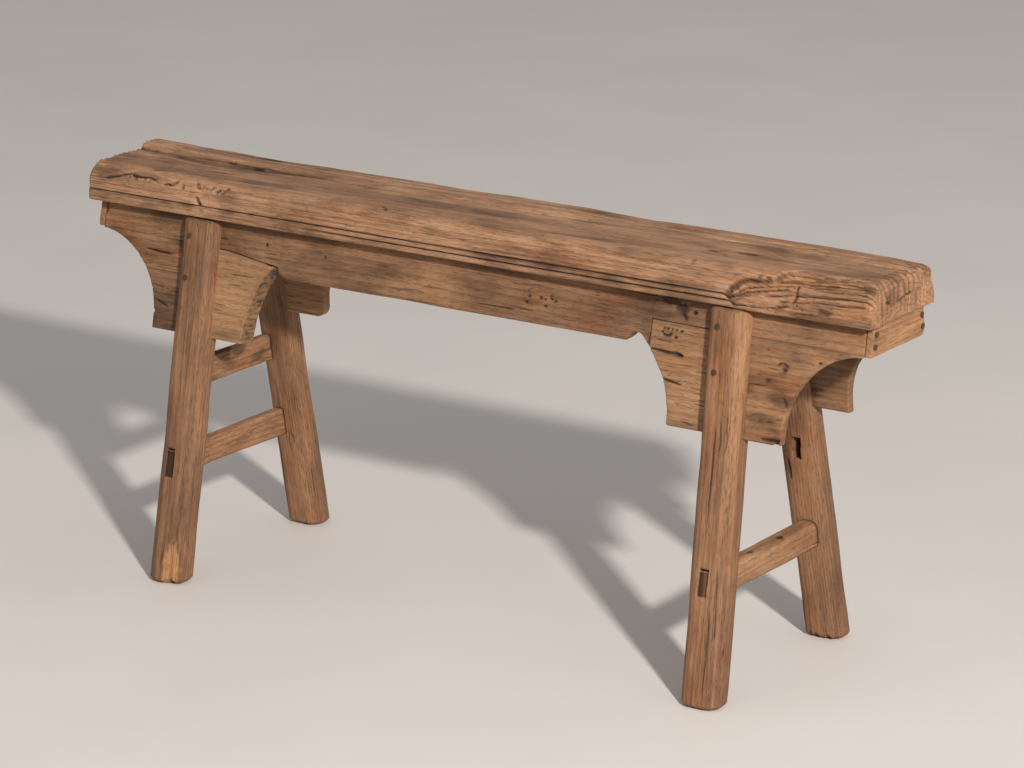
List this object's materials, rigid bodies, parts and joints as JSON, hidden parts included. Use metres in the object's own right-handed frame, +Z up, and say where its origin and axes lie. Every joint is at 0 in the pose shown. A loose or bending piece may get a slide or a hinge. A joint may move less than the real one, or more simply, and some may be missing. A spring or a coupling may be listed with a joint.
{
  "type": "backless bench",
  "caption": "Narrow backless wooden bench: thick plank seat, aprons with curved spandrels clamped in the slotted tops of splayed legs, side stretchers.",
  "frame": {"origin": "on the floor, at the middle of the whole object's box", "axes": "+X along the seat's length, to the right seen from the front; -Y is the front; +Z up"},
  "size_m": [1.115, 0.332, 0.507],
  "materials": {
    "seat_wood": "weathered, worn smooth by use, open cracks and knots",
    "apron_wood": "weathered, matt",
    "pale_spandrel_wood": "paler board, matt, rough sawn arc",
    "leg_wood": "weathered, rounded by wear, matt",
    "stretcher_wood": "weathered, matt",
    "end_board_wood": "weathered, rough end grain",
    "peg_wood": "dark end grain",
    "nail_iron": "rusted wrought iron"
  },
  "bodies": {
    "root": {"seat_plank": "seat_wood", "front_apron": "apron_wood", "rear_apron": "apron_wood", "front_left_outer_spandrel": "apron_wood", "front_left_inner_spandrel": "pale_spandrel_wood", "front_left_leg": "leg_wood", "front_right_outer_spandrel": "apron_wood", "front_right_inner_spandrel": "pale_spandrel_wood", "front_right_leg": "leg_wood", "rear_left_outer_spandrel": "apron_wood", "rear_left_inner_spandrel": "pale_spandrel_wood", "rear_left_leg": "leg_wood", "rear_right_outer_spandrel": "apron_wood", "rear_right_inner_spandrel": "pale_spandrel_wood", "rear_right_leg": "leg_wood", "left_end_board": "end_board_wood", "lower_left_stretcher": "stretcher_wood", "right_end_board": "end_board_wood", "lower_right_stretcher": "stretcher_wood", "upper_left_stretcher": "stretcher_wood", "leg_pegs": "peg_wood", "end_board_nails": "nail_iron"}
  },
  "joints": []
}
